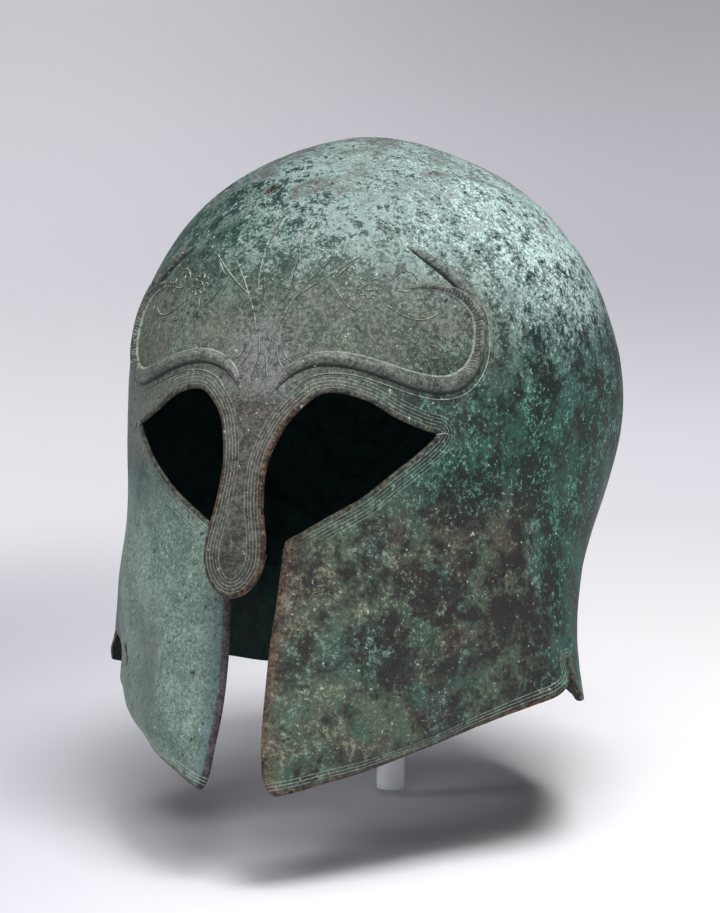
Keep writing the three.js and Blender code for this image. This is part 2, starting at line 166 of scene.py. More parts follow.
def sheet_point(angle, row):
    """The whole sheet: the dome, drawn out forward over the nose. The nose guard is a shallow
    trough bent forward, and the larger of the two reaches is taken, with its corner smoothed."""
    point = dome_point(angle, row)
    height = point[..., 2] - TIP_CLEARANCE
    near = (1 - between(10, 16, np.abs(angle))) * (height > 71) * (1 - between(158, 164, height))
    near = near * (np.abs(angle) < nose_limit(height))
    across = np.where(near > 0, angle * nose_spread(height), 0)
    bow = 0.004 + 0.005 * between(122, 146, height)
    forward = reach_at(height)[..., 0] - bow * across**2
    dome_reach = -point[..., 1]
    apart = forward - dome_reach
    swell = 0.5 * (apart + np.sqrt(apart**2 + 9)) * near
    sideways = between(0, 8, apart) * near
    x = point[..., 0] * (1 - sideways) + across * sideways
    return np.stack([x, -(dome_reach + swell), point[..., 2]], -1)


def unevenness(point):
    """Soft dents of a hammered sheet: a sum of slow waves in all directions, never above zero."""
    count = 26
    rng = np.random.default_rng(7)
    ways = rng.normal(size=(count, 3))
    ways /= np.linalg.norm(ways, axis=1)[:, None]
    lengths = np.geomspace(70, 9, count)
    sizes = 0.0017 * lengths
    waves = np.sin(point @ (ways * (2 * np.pi / lengths)[:, None]).T + rng.uniform(0, 6.28, count))
    return (waves * sizes).sum(-1) - 0.25


def bent(angle, height):
    """How far the wearer's right side stands out since it was bent: a bump in the cheek's angle,
    longer towards the front, that fades upward, and the neck guard's corner beyond the notch."""
    past = angle - CHEEK_BEND["angle"]
    width = np.where(past > 0, CHEEK_BEND["front"], CHEEK_BEND["rear"])
    cheek = CHEEK_BEND["reach"] * np.exp(-((past / width) ** 2)) * (1 - between(13, 38, height))
    corner = CORNER_BEND * between(-66.5, -68.5, angle) * between(-96, -76, angle)
    return cheek + corner * (1 - between(42, 62, height))


def sheet_frame(angle, row):
    """Point and outward normal of the finished outside, from two small steps each way."""
    turn_step, row_step = 0.2, 0.01
    point = sheet_point(angle, row)
    round_way = sheet_point(angle + turn_step, row) - sheet_point(angle - turn_step, row)
    down_way = sheet_point(angle, row + row_step) - sheet_point(angle, row - row_step)
    normal = np.cross(down_way, round_way)
    normal /= np.maximum(np.linalg.norm(normal, axis=-1, keepdims=True), 1e-9)
    return point, normal


# Cut edges, as degrees round from the face and heights. Each run is drawn as a smooth line.
CHEEK_FRONT = [
    [5.9, -0.2], [4.9, 4], [4.2, 12], [3.75, 24], [3.6, 41],
    [3.8, 53], [4.4, 68], [5.1, 86], [5.5, 92.3],
]
EYE_LOWER = [[9, 96.5], [14.5, 103], [20, 109.5], [25, 117.5], [29.5, 124], [33.4, 130.2]]
EYE_UPPER = [
    [34.2, 132], [32, 133.2], [28.5, 136], [25, 139.5], [22, 143.3],
    [18.5, 146.3], [14.5, 148], [11, 147], [8.5, 145],
]
CHEEK_RIM = [
    [5.2, -0.6], [7.6, 0.2], [9.3, 1], [11.8, 2.3], [14.5, 3.6], [17.7, 4.8], [22.8, 7.3],
    [28, 10.1], [34.8, 13.4], [42.6, 17.7], [51.7, 22.5], [58.3, 26], [62.8, 28.5], [65.4, 31.4],
    [66.6, 34.3], [66.7, 36.6], [66.2, 39.5],
]
NOTCH_BACK = [[66.2, 39.5], [67.3, 34], [68.4, 28.5], [69.4, 25]]
NECK_RIM = [  # degrees, height, and how much lower it hangs on the wearer's left
    [69.4, 25, 0], [76, 21.4, 0.2], [84, 19, 1.4], [96, 16.4, 2.9], [106, 14, 4],
    [118, 10.9, 2.8], [126, 9.7, 1.6], [140, 9.2, 0.8], [180, 10, 0],
]
TORN_CORNER = [
    [-50.9, 31], [-51.1, 37.5], [-53.5, 39.5], [-60, 40.5], [-64.6, 44], [-65.8, 52],
    [-66.4, 44], [-67.2, 36], [-67.8, 29], [-60, 22], [-52, 22],
]
HOLES = [
    [[-45.9, 39], [-43.8, 40.6], [-42.6, 39.3], [-44.3, 37.7]],
    [[-43.4, 37.2], [-42.4, 37.2], [-42.3, 33.8], [-43.3, 33.6]],
]
PINHOLE = {"angle": -13.6, "height": 223, "half_angle": 1.15, "half_height": 0.75}
BELOW = -14  # under every edge, where the cuts close
ANGLE_LENGTH = 1.9  # rough millimetres along the sheet for each degree round


def run_length(points):
    """How far along a line of degrees and heights each of its points lies."""
    return np.r_[0, np.cumsum(np.linalg.norm(np.diff(points * [ANGLE_LENGTH, 1], axis=0), axis=1))]


def smooth_line(points, spacing=1.2):
    """Spline through points, by their distance along the line, at an even spacing."""
    points = np.asarray(points, float)
    along = run_length(points)
    steps = max(2, int(along[-1] / spacing))
    return smooth_through(along, points)(np.linspace(0, along[-1], steps + 1))


def mirrored(line):
    """The same line on the other side of the face."""
    return (line * [-1, 1])[::-1]


def straight(*points):
    """Straight runs between points, in small steps so that they follow the sheet."""
    points = np.asarray(points, float)
    pieces = [np.linspace(a, b, 24)[:-1] for a, b in zip(points[:-1], points[1:])]
    return np.vstack(pieces + [points[-1:]])


def neck_line(side):
    """The neck guard's edge, which hangs a little lower on the wearer's left."""
    angle, height, skew = np.array(NECK_RIM).T
    return smooth_line(np.stack([angle, height - side * skew], -1))


half_opening = np.vstack([
    smooth_line(CHEEK_FRONT), smooth_line(EYE_LOWER), smooth_line(EYE_UPPER),
    straight([5, 144], [0, 144]),
])
start = straight([5.9, BELOW], [5.9, -0.4])[:-1]
cuts = [np.vstack([start, half_opening, mirrored(half_opening), mirrored(start)])]
for side in (1, -1):
    cheek = np.vstack([
        straight([3.2, BELOW], [3.2, -0.6])[:-1], smooth_line(CHEEK_RIM),
        smooth_line(NOTCH_BACK), straight([69.4, 25], [73, BELOW], [3.2, BELOW])[1:],
    ])
    neck = np.vstack([
        straight([69.4, BELOW], [69.4, 25])[:-1], neck_line(side),
        straight([188, 10], [188, BELOW], [69.4, BELOW]),
    ])
    cuts += [cheek * [side, 1], neck * [side, 1]]
cuts += [straight(*outline, outline[0]) for outline in [TORN_CORNER] + HOLES]
round_hole = np.linspace(0, 2 * np.pi, 25)[:-1]
cuts.append(np.stack([
    PINHOLE["angle"] + PINHOLE["half_angle"] * np.cos(round_hole),
    PINHOLE["height"] + PINHOLE["half_height"] * np.sin(round_hole),
], -1))
nose_half_angles = np.array(NOSE_HALF_WIDTHS) / nose_spread(np.array(NOSE_HEIGHTS))
nose_half = np.stack([nose_half_angles, NOSE_HEIGHTS], -1)[:-1]
nose_half = smooth_line(nose_half * [1.3, 1], 0.8) / [1.3, 1]
nose_outline = np.vstack([nose_half, mirrored(nose_half)])


def inside(angle, height, outline):
    """True where a point lies within a closed outline, by counting the edges to one side of it."""
    ax, ay = outline.T
    bx, by = np.roll(outline, -1, axis=0).T
    found = np.zeros(angle.shape, bool)
    for x0, y0, x1, y1 in zip(ax, ay, bx, by):
        if y0 == y1:
            continue
        crosses = (height < y0) != (height < y1)
        found ^= crosses & (angle < x0 + (height - y0) * (x1 - x0) / (y1 - y0))
    return found


def distance_to(points, line, closed=True):
    """Distance of each point to a line in space, worked out for some points at a time."""
    a = line if closed else line[:-1]
    b = np.roll(line, -1, axis=0) if closed else line[1:]
    run = (b - a).astype(np.float32)
    length = np.maximum((run**2).sum(-1), 1e-9)
    far = []
    for some in np.array_split(points.astype(np.float32), max(1, len(points) // 2500)):
        apart = some[:, None] - a[None].astype(np.float32)
        share = np.clip((apart * run).sum(-1) / length, 0, 1)
        gap = ((apart - share[..., None] * run) ** 2).sum(-1)
        far.append(np.sqrt(gap.min(1)))
    return np.concatenate(far)


def on_sheet(line, surface=dome_point):
    """A line of degrees and heights, placed on the sheet."""
    return surface(line[:, 0], row_of(line[:, 1]))


def spread(stops):
    """Places along a line from (end, spacing) pairs, starting at the first."""
    places = [stops[0][0]]
    for (low, _), (high, spacing) in zip(stops[:-1], stops[1:]):
        count = max(1, round(abs(high - low) / spacing))
        places += list(np.linspace(low, high, count + 1)[1:])
    return np.array(places)


angles = spread([(-180, 1), (-72, 1.8), (-40, 0.6), (58, 0.8), (80, 1.0), (180, 1.8)])[:-1]
CROWN_FROM = 205  # above this height the rows are spaced evenly up to the crown
heights = spread([(CROWN_FROM, 1), (70, 1.55), (52, 2.2), (24, 1.6), (-6, 2.2)])
upper_rows = np.linspace(0, row_of(CROWN_FROM), 30)[1:-1]
rows = np.r_[upper_rows, row_of(heights)]
grid_angle, grid_row = np.meshgrid(angles, rows)
count_round = len(angles)
flat_angle = np.r_[0.0, grid_angle.ravel()]
flat_row = np.r_[0.001, grid_row.ravel()]
flat_height = height_at(flat_row)[:, 0]
bare_point = dome_point(flat_angle, flat_row)
point, normal = sheet_frame(flat_angle, flat_row)
point[0], normal[0] = (0, 0, SECTION_HEIGHTS[0] + TIP_CLEARANCE), (0, 0, 1)

# How far each point lies inside the bronze. Where the nose guard and the brow meet, the corner
# between their edges is filled with a small fillet.
FAR_AWAY = 99.0
FILLET = 5
to_edge = np.full(len(flat_angle), FAR_AWAY)
for cut in cuts:
    line = on_sheet(cut)
    far = distance_to(bare_point, line)
    to_edge = np.minimum(to_edge, np.where(inside(flat_angle, flat_height, cut), -far, far))
nose_line = on_sheet(nose_outline, sheet_point)
far = distance_to(point, nose_line)
on_nose = inside(flat_angle, flat_height, nose_outline)
nose_side = np.abs(flat_angle) < nose_limit(flat_height)
nose_edge = np.where(nose_side & (flat_height > 70), np.where(on_nose, far, -far), -FAR_AWAY)
lower, higher = np.minimum(to_edge, nose_edge), np.maximum(to_edge, nose_edge)
fillet = np.clip(FILLET - (higher - lower), 0, FILLET)
to_edge = higher + np.where(flat_height > 125, fillet**2 / (4 * FILLET), 0)
nose_share = between(-6, 2, nose_edge) * (1 - between(138, 156, flat_height)) * nose_side
wall = WALL + (NOSE_WALL - WALL) * nose_share

ring = np.arange(len(rows) * count_round).reshape(len(rows), count_round) + 1
right = np.roll(ring, -1, axis=1)
quads = np.stack([ring[:-1], ring[1:], right[1:], right[:-1]], -1).reshape(-1, 4)
faces = np.vstack([
    np.stack([np.zeros(count_round, int), ring[0], right[0]], -1),
    quads[:, [0, 1, 2]],
    quads[:, [0, 2, 3]],
])


def trimmed(faces, level, channels):
    """Cuts triangles off where level falls below zero. Each cut edge gets one new vertex, at the
    place where level is zero, and every channel is mixed there in the same share."""
    keep = level[faces] > 0
    number = keep.sum(1)
    whole = faces[number == 3]

    def rolled(chosen, alone):
        """The triangles turned so that the odd corner comes first."""
        first = (keep[chosen] == alone).argmax(1)
        corners = (first[:, None] + np.arange(3)) % 3
        return np.take_along_axis(faces[chosen], corners, 1)

    one = rolled(number == 1, True)
    two = rolled(number == 2, False)
    pairs = np.vstack([one[:, [0, 1]], one[:, [0, 2]], two[:, [0, 1]], two[:, [0, 2]]])
    pairs.sort(axis=1)
    unique, index = np.unique(pairs, axis=0, return_inverse=True)
    index = index.ravel() + len(level)
    n, m = len(one), len(two)
    a, b = index[:n], index[n:2 * n]
    c, d = index[2 * n:2 * n + m], index[2 * n + m:]
    cut_faces = np.vstack([
        np.stack([one[:, 0], a, b], -1),
        np.stack([c, two[:, 1], two[:, 2]], -1),
        np.stack([c, two[:, 2], d], -1),
    ])
    low, high = level[unique[:, 0]], level[unique[:, 1]]
    share = low / (low - high)
    mixed = []
    for channel in channels:
        weight = share if channel.ndim == 1 else share[:, None]
        added = channel[unique[:, 0]] * (1 - weight) + channel[unique[:, 1]] * weight
        mixed.append(np.concatenate([channel, added]))
    return np.vstack([whole, cut_faces]), mixed


channels = [point, normal, wall, to_edge, flat_angle, flat_height, nose_share, nose_edge]
faces, channels = trimmed(faces, to_edge - wall / 2, channels)
used, faces = np.unique(faces, return_inverse=True)
faces = faces.reshape(-1, 3)
channels = [channel[used] for channel in channels]
point, normal, wall, to_edge, flat_angle, flat_height, nose_share, nose_edge = channels
normal /= np.linalg.norm(normal, axis=1)[:, None]
even_point = point
point = point + normal * (unevenness(point) + bent(flat_angle, flat_height))[:, None]


def rounded_rim(faces, point, normal, wall, turns):
    """Carries the open edge of a sheet round to its inside in a half circle. Returns the edge's
    pieces, its vertices, each vertex's place among them, and a ring of points for each turn."""
    edges = np.vstack([faces[:, [0, 1]], faces[:, [1, 2]], faces[:, [2, 0]]])
    size = len(point)
    key, back = edges[:, 0] * size + edges[:, 1], edges[:, 1] * size + edges[:, 0]
    rim = edges[~np.isin(key, back)]
    along = np.zeros_like(point)
    step = point[rim[:, 1]] - point[rim[:, 0]]
    step /= np.maximum(np.linalg.norm(step, axis=1), 1e-6)[:, None]
    np.add.at(along, rim[:, 0], step)
    np.add.at(along, rim[:, 1], step)
    source = np.unique(rim)
    out = np.cross(along[source], normal[source])
    out /= np.maximum(np.linalg.norm(out, axis=1), 1e-6)[:, None]
    place = np.full(size, -1)
    place[source] = np.arange(len(source))
    half = (wall[source] / 2)[:, None]
    middle = point[source] - normal[source] * half
    rings = [middle + half * (normal[source] * np.cos(t) + out * np.sin(t)) for t in turns]
    return rim, source, place, rings


RIM_STEPS = 6
rim_turns = np.pi * np.arange(1, RIM_STEPS) / RIM_STEPS
rim, source, place, rings = rounded_rim(faces, point, normal, wall, rim_turns)
size = len(point)
inner = point - normal * wall[:, None]
all_points = np.vstack([point, inner] + rings)
rim_ids = [2 * size + k * len(source) + np.arange(len(source)) for k in range(len(rings))]
ids = [source] + rim_ids + [source + size]
strips = []
for near_ids, far_ids in zip(ids[:-1], ids[1:]):
    i, j = place[rim[:, 0]], place[rim[:, 1]]
    strips.append(np.stack([near_ids[j], near_ids[i], far_ids[i]], -1))
    strips.append(np.stack([near_ids[j], far_ids[i], far_ids[j]], -1))
all_faces = np.vstack([faces, faces[:, ::-1] + size] + strips)


def mesh_object(name, points, faces, attributes):
    """A smooth mesh object in metres, with named attributes of one number for each vertex."""
    mesh = bpy.data.meshes.new(name)
    mesh.vertices.add(len(points))
    mesh.vertices.foreach_set("co", (points / 1000).astype(np.float32).ravel())
    sides = faces.shape[1]
    mesh.loops.add(faces.size)
    mesh.loops.foreach_set("vertex_index", faces.astype(np.int32).ravel())
    mesh.polygons.add(len(faces))
    mesh.polygons.foreach_set("loop_start", np.arange(0, faces.size, sides, dtype=np.int32))
    for key, values in attributes.items():
        layer = mesh.attributes.new(key, "FLOAT", "POINT")
        layer.data.foreach_set("value", values.astype(np.float32))
    mesh.update(calc_edges=True)
    mesh.validate()
    mesh.shade_smooth()
    obj = bpy.data.objects.new(name, mesh)
    bpy.context.scene.collection.objects.link(obj)
    return obj


def carried(values, on_rim, behind=None):
    """A channel of the outside, given to the inside and to the rim's steps as well."""
    back = values if behind is None else behind
    return np.concatenate([values, back] + [on_rim(values[source], t) for t in rim_turns])


rim_lines = [on_sheet(smooth_line(CHEEK_RIM) * [side, 1]) for side in (1, -1)]
rim_lines += [
    on_sheet(np.vstack([smooth_line(NOTCH_BACK), neck_line(side)]) * [side, 1]) for side in (1, -1)
]
hem = np.min([distance_to(even_point, line, closed=False) for line in rim_lines], axis=0)
front_lines = [on_sheet(smooth_line(CHEEK_FRONT) * [side, 1]) for side in (1, -1)]
front = np.min([distance_to(even_point, line, closed=False) for line in front_lines], axis=0)
BORDERLESS = 60.0  # a distance past the reach of every border line
by_eye = (flat_height > 92) & (flat_height < 180) & (np.abs(flat_angle) < 60)
lid = np.where(by_eye | (nose_edge > 0), to_edge, BORDERLESS)
sheet = mesh_object("helmet_sheet", all_points, all_faces, {
    "edge": carried(to_edge, lambda v, t: v * (1 - np.sin(t)), np.full(size, 30.0)),
    "outside": carried(np.ones(size), lambda v, t: v * (0.5 + 0.5 * np.cos(t)), np.zeros(size)),
    "nose": carried(nose_share, lambda v, t: v),
    "lid": carried(lid, lambda v, t: v, np.full(size, BORDERLESS)),
    "hem": carried(hem, lambda v, t: v, np.full(size, BORDERLESS)),
    "front": carried(np.where(flat_angle > 0, front, -front), lambda v, t: v),
})


# The patina. Bronze that lay in the ground for ages has a thin crust of green and blue-green
# copper salts over brown oxide, worn back to brown and copper on its edges.
class Wire:
    """An output of a shader node. Sums on it add Math nodes, and make adds any other node."""

    def __init__(self, tree, socket=None):
        self.tree = tree
        self.socket = socket

    def make(self, kind, settings=None, inputs=None, output=0):
        """Adds a node: its settings first, then the values or links of its inputs."""
        node = self.tree.nodes.new(kind)
        for name, value in (settings or {}).items():
            setattr(node, name, value)
        for key, value in (inputs or {}).items():
            if isinstance(value, Wire):
                self.tree.links.new(value.socket, node.inputs[key])
            else:
                node.inputs[key].default_value = value
        return Wire(self.tree, node.outputs[output])

    def math(self, operation, *others):
        """A Math node on this value and the others, in that order."""
        inputs = dict(enumerate((self,) + others))
        return self.make("ShaderNodeMath", {"operation": operation}, inputs)

    def __add__(self, other):
        return self.math("ADD", other)

    def __sub__(self, other):
        return self.math("SUBTRACT", other)

    def __mul__(self, other):
        return self.math("MULTIPLY", other)

    def __truediv__(self, other):
        return self.math("DIVIDE", other)

    def __rsub__(self, other):
        return self.make("ShaderNodeMath", {"operation": "SUBTRACT"}, {0: other, 1: self})

    def __rtruediv__(self, other):
        return self.make("ShaderNodeMath", {"operation": "DIVIDE"}, {0: other, 1: self})

    __radd__ = __add__
    __rmul__ = __mul__

    def step(self, low, high, start=0.0, end=1.0):
        """Rises smoothly from start to end as the value goes from low to high."""
        if high < low:
            low, high, start, end = high, low, end, start
        return self.make(
            "ShaderNodeMapRange", {"interpolation_type": "SMOOTHSTEP", "clamp": True},
            {"Value": self, "From Min": low, "From Max": high, "To Min": start, "To Max": end},
        )

    def tint(self, below, above):
        """A colour from below, where the value is 0, to above, where it is 1."""
        settings = {"data_type": "RGBA", "clamp_factor": True}
        return self.make("ShaderNodeMix", settings, {0: self, 6: below, 7: above}, 2)

    def grain(self, size, detail=4, roughness=0.55, distortion=0.0):
        """Noise over this vector, with lumps of that size in millimetres."""
        return self.make(
            "ShaderNodeTexNoise", {},
            {"Vector": self, "Scale": 1000 / size, "Detail": detail, "Roughness": roughness,
             "Distortion": distortion},
        )


def rgb(red, green, blue):
    """A colour as it looks on a screen, 0 to 255, turned into amounts of light."""
    screen = np.array([red, green, blue]) / 255
    light = np.where(screen > 0.04045, ((screen + 0.055) / 1.055) ** 2.4, screen / 12.92)
    return tuple(light) + (1.0,)


def bronze_finish(name, kind):
    """The patina. Slow noise and the place on the helmet choose between green, blue-green, grey
    and brown crusts; fine noise speckles and pits them; the edges are worn to brown metal. Some
    colours are painted light: a highlight on the upper crown and along the ridges' upper edges, a
    sheen at the nose root, and shade inside the sheet and on the lower sides of ridges and
    threads."""
    material = bpy.data.materials.new(name)
    material.use_nodes = True
    tree = material.node_tree
    shader = tree.nodes["Principled BSDF"]
    top = Wire(tree)
    here = top.make("ShaderNodeTexCoord", output=3)
    split = top.make("ShaderNodeSeparateXYZ", {}, {0: here})
    x, y, z = [Wire(tree, split.socket.node.outputs[i]) * 1000 for i in range(3)]

    def reading(attribute):
        """A number kept for each vertex of the piece."""
        return top.make("ShaderNodeAttribute", {"attribute_name": attribute}, output=2)

    edge, outside, nose = reading("edge"), reading("outside"), reading("nose")
    patch = here.grain(60, 4, 0.6, 0.7)
    blotch = here.grain(20, 5, 0.62, 0.5)
    mottle = here.grain(6.5, 5, 0.68, 0.3)
    speckle = here.grain(1.7, 3, 0.7)
    grit = here.grain(0.7, 2, 0.6)
    wander = (patch - 0.5) * 90 + (blotch - 0.5) * 60
    fine = mottle * 0.4 + speckle * 0.38 + grit * 0.22
    coarse = blotch * 0.45 + mottle * 0.4 + speckle * 0.15

    # The dome: dark blue-green, with a mint bloom that thickens to the crown's left, and brown.
    ground = coarse.step(0.43, 0.58).tint(rgb(28, 50, 47), rgb(72, 98, 88))
    bloom = (z + x * 0.6 + wander).step(165, 300, -0.1, 0.09)
    colour = (fine + bloom).step(0.48, 0.58).tint(ground, rgb(124, 143, 140))
    # Paler mint up the crown toward the wearer's left: a pale crust, brightened here into a
    # painted highlight where the key light falls.
    frost_and_highlight = (z + x * 0.95 + wander * 0.8).step(225, 335, -0.14, 0.085)
    frost_and_highlight = (fine + frost_and_highlight).step(0.52, 0.61)
    colour = frost_and_highlight.tint(colour, rgb(176, 200, 197))
    higher = (z + wander * 0.3).step(225, 290, -0.03, 0.05)
    crust = (coarse * 0.7 + fine * 0.3 + higher).step(0.525, 0.575)
    earth = speckle.step(0.4, 0.62).tint(rgb(46, 42, 42), rgb(96, 92, 92))
    colour = (crust * 0.8).tint(colour, earth)

    # The brow, where it is handled most: olive grey with little green left.
    brow = (z + wander * 0.2).step(150, 166) * (1 - (z + wander * 0.35).step(208, 244))
    brow = brow * (y + x * 0.12).step(-40, -66)
    dusty = speckle * 0.5 + grit * 0.3 + mottle * 0.2
    olive = (dusty * 0.8 + patch * 0.2).step(0.4, 0.6).tint(rgb(50, 60, 53), rgb(110, 122, 109))
    olive = ((coarse + 0.02).step(0.47, 0.56) * 0.5).tint(olive, rgb(96, 92, 84))
    colour = (brow * 0.93).tint(colour, olive)

    # A patch of painted grey sheen where the nose guard grows out of the brow.
    root = (1 - (x * x + (z - 193) * (z - 193) * 0.6).step(60, 420)) * y.step(-60, -80)
    colour = (root * fine.step(0.4, 0.6, 0.15, 0.6)).tint(colour, rgb(114, 114, 116))

    # The sides and back of the skull, deep blue-green with nearly black hollows.
    teal = coarse.step(0.45, 0.56).tint(rgb(11, 25, 24), rgb(32, 74, 65))
    verdigris = (dusty * 0.6 + fine * 0.4 + (patch - 0.5) * 0.2).step(0.52, 0.6)
    teal = (verdigris * 0.85).tint(teal, rgb(98, 150, 134))
    rear = x.step(25, 62) * (1 - (z - y * 0.2 + wander * 0.7).step(180, 236))
    colour = (rear * 0.85).tint(colour, teal)

    # The wearer's right cheek is smooth and pale, the left one mottled olive, grey and brown.
    low = 1 - (z + wander * 0.2).step(128, 160)
    sage = (dusty * 0.6 + blotch * 0.25 + patch * 0.15).step(0.4, 0.6)
    sage = sage.tint(rgb(82, 104, 93), rgb(134, 154, 142))
    right_cheek = low * (1 - (x + wander * 0.1).step(-24, -6))
    right_cheek = right_cheek * (y + wander * 0.5).step(-12, -48)
    colour = (right_cheek * 0.95).tint(colour, sage)
    hue = here.make("ShaderNodeVectorMath", {"operation": "ADD"}, {0: here, 1: (0.31, 0.17, 0.53)})
    warmth, chill = hue.grain(34, 5, 0.65, 0.6), hue.grain(17, 5, 0.66, 0.6)
    moss = warmth.step(0.46, 0.6).tint(rgb(76, 88, 72), rgb(76, 68, 58))
    moss = (chill.step(0.5, 0.64) * 0.65).tint(moss, rgb(48, 80, 72))
    shaded = (coarse - x.step(40, 95, 0, 0.045)).step(0.41, 0.55)
    moss = shaded.tint(rgb(38, 35, 34), moss)
    lit = (fine - x.step(20, 90, 0, 0.05) + (warmth - 0.5) * 0.15).step(0.5, 0.62)
    moss = lit.tint(moss, chill.step(0.4, 0.6).tint(rgb(122, 122, 102), rgb(108, 128, 118)))
    left_cheek = low * (x + wander * 0.1).step(-6, 14) * (1 - (y + wander * 0.5).step(-66, -38))
    colour = (left_cheek * 0.9).tint(colour, moss)

    # Bare brown metal on the nose guard, and dark wear along the cut edges.
    metal = fine.step(0.42, 0.6).tint(rgb(54, 50, 46), rgb(92, 89, 84))
    bare = (nose + (mottle - 0.5) * 0.8).step(0.3, 0.8)
    colour = (bare * 0.92).tint(colour, metal)
    worn = 1 - (edge + (mottle - 0.5) * 5).step(0.5, 2.8)
    copper = speckle.step(0.42, 0.7).tint(rgb(44, 36, 32), rgb(122, 90, 70))
    if kind == "sheet":
        warm = nose.math("MAXIMUM", reading("hem").step(3.5, 0.8))
        copper = warm.tint(speckle.step(0.4, 0.62).tint(rgb(38, 36, 32), rgb(96, 92, 82)), copper)
    colour = (worn * 0.85).tint(colour, copper)

    # The turned-out rim behind the left cheek is paler, and the right cheek has a brown stain and
    # a grey strip down its rear edge.
    flange = y.step(2, 26) * x.step(40, 62) * (1 - y.step(46, 66))
    flange = flange * (1 - (z + wander * 0.3).step(110, 165))
    pale_rim = fine.step(0.4, 0.6).tint(rgb(70, 80, 78), rgb(142, 152, 150))
    colour = (flange * 0.8).tint(colour, pale_rim)
    stain = 1 - (x + 52 + wander * 0.12).math("ABSOLUTE").step(3, 12)
    stain = stain * low * y.step(-20, -50) * (z.step(40, 62) - z.step(85, 110))
    colour = (stain * fine.step(0.4, 0.6, 0.0, 0.6)).tint(colour, rgb(84, 74, 62))
    back_strip = x.step(-76, -88) * low * y.step(-20, -50)
    grey = fine.step(0.42, 0.6).tint(rgb(70, 68, 62), rgb(118, 118, 110))
    colour = (back_strip * 0.7).tint(colour, grey)

    if kind == "sheet":
        lid, hem, front = reading("lid"), reading("hem"), reading("front")
        strip = (front + (coarse - 0.5) * 16).step(8, 2) * front.step(-0.5, 0.5) * low
        rust = fine.step(0.42, 0.6).tint(rgb(60, 46, 38), rgb(112, 90, 72))
        colour = (strip * fine.step(0.4, 0.6, 0.35, 0.8)).tint(colour, rust)
        blue = (front + (coarse - 0.5) * 8).step(-9, -4) * front.step(0.5, -0.5) * low
        colour = (blue * fine.step(0.44, 0.58, 0.05, 0.45)).tint(colour, rgb(86, 108, 124))
        purple = (front + (coarse - 0.5) * 3).step(-3.4, -2) * front.step(0.5, -0.5) * low
        plum = fine.step(0.42, 0.6).tint(rgb(44, 36, 38), rgb(84, 72, 72))
        colour = (purple * 0.85).tint(colour, plum)

        def grooves(distance, first, pitch, count):
            """Engraved border lines: 1 on a line, 0 between, at an even pitch from an edge."""
            at = (distance - first) / pitch
            off = (at - at.math("ROUND")).math("ABSOLUTE")
            within = at.math("GREATER_THAN", -0.5) * at.math("LESS_THAN", count - 0.5)
            return (1 - off.step(0.05, 0.24)) * within

        cut = grooves(lid, 2.0, 1.25, 5).math("MAXIMUM", grooves(hem, 2.7, 1.3, 3) * 1.5)
        show = speckle.step(0.35, 0.5, 0.35, 0.85)
        colour = (cut * show * (right_cheek * 0.4 + 0.42)).tint(colour, rgb(158, 168, 154))
        relief = cut * -0.2
    elif kind == "band":
        along, across = reading("along"), reading("across")
        phase = along / 1.35 + across * 0.9
        tick = (phase - phase.math("FLOOR") - 0.5).math("ABSOLUTE")
        hatch = (1 - tick.step(0.06, 0.2)) * across.step(0.1, 0.25) * across.step(0.8, 0.66)
        hatch = hatch * along.step(38, 60)
        body = fine.step(0.4, 0.6).tint(rgb(58, 62, 58), rgb(112, 118, 110))
        colour = (brow * 0.1 + 0.7).tint(colour, body)
        # A pale line of painted highlight along the band's upper, hatched edge.
        highlight_line = 1 - (across - 0.82).math("ABSOLUTE").step(0.03, 0.13)
        highlight_line = highlight_line * speckle.step(0.35, 0.5, 0.5, 1.0)
        # The lower foot is darkened as painted shadow; the dark ticks after it are the band's
        # hatching.
        colour = (across.step(-0.5, -0.85) * 0.9).tint(colour, rgb(18, 24, 22))
        colour = (hatch * 0.75).tint(colour, rgb(24, 24, 22))
        colour = (highlight_line * 0.5).tint(colour, rgb(158, 168, 156))
        relief = hatch * -0.2
    else:
        across = reading("across")
        pale = fine.step(0.38, 0.56).tint(rgb(92, 100, 90), rgb(150, 160, 146))
        # The lower side of each thread is dark as painted shade; its top and upper side are pale.
        colour = across.step(-0.35, 0.05).tint(rgb(34, 38, 34), pale)
        relief = speckle * 0.02

    # Pits, grit and pale specks over all of it.
    fleck = here.grain(2.1, 2, 0.5).step(0.68, 0.73) * speckle.step(0.42, 0.6)
    colour = (fleck * 0.7).tint(colour, rgb(186, 202, 190))
    pit = 1 - here.grain(3.2, 3, 0.6).step(0.30, 0.37)
    colour = (pit * 0.75).tint(colour, rgb(18, 20, 18))
    dust = (grit * 0.6 + speckle * 0.4).step(0.3, 0.7, 0.68, 1.3)
    colour = top.make("ShaderNodeHueSaturation", {}, {"Value": dust, "Color": colour})
    # Inside, the sheet is nearly black green: a dark patina, deepened with painted shade.
    if kind == "sheet":
        colour = outside.step(0.15, 0.55).tint(
            mottle.step(0.35, 0.65).tint(rgb(6, 22, 22), rgb(16, 52, 48)), colour)
    height = relief + mottle * 0.3 + speckle * 0.16 + grit * 0.06 - pit * 0.15 + fleck * 0.05
    bump = top.make("ShaderNodeBump", {}, {"Strength": 1.0, "Distance": 0.001, "Height": height})
    gloss = fine.step(0.38, 0.62, 0.5, 0.78)
    shader.inputs["Specular IOR Level"].default_value = 0.28
    tree.links.new(colour.socket, shader.inputs["Base Color"])
    tree.links.new(gloss.socket, shader.inputs["Roughness"])
    metallic = (bare * 0.25 + worn * 0.4).math("MINIMUM", 0.5)
    tree.links.new(metallic.socket, shader.inputs["Metallic"])
    tree.links.new(bump.socket, shader.inputs["Normal"])
    return material


sheet.data.materials.append(bronze_finish("bronze_sheet", "sheet"))
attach(sheet, "root")
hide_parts("helmet_shell")


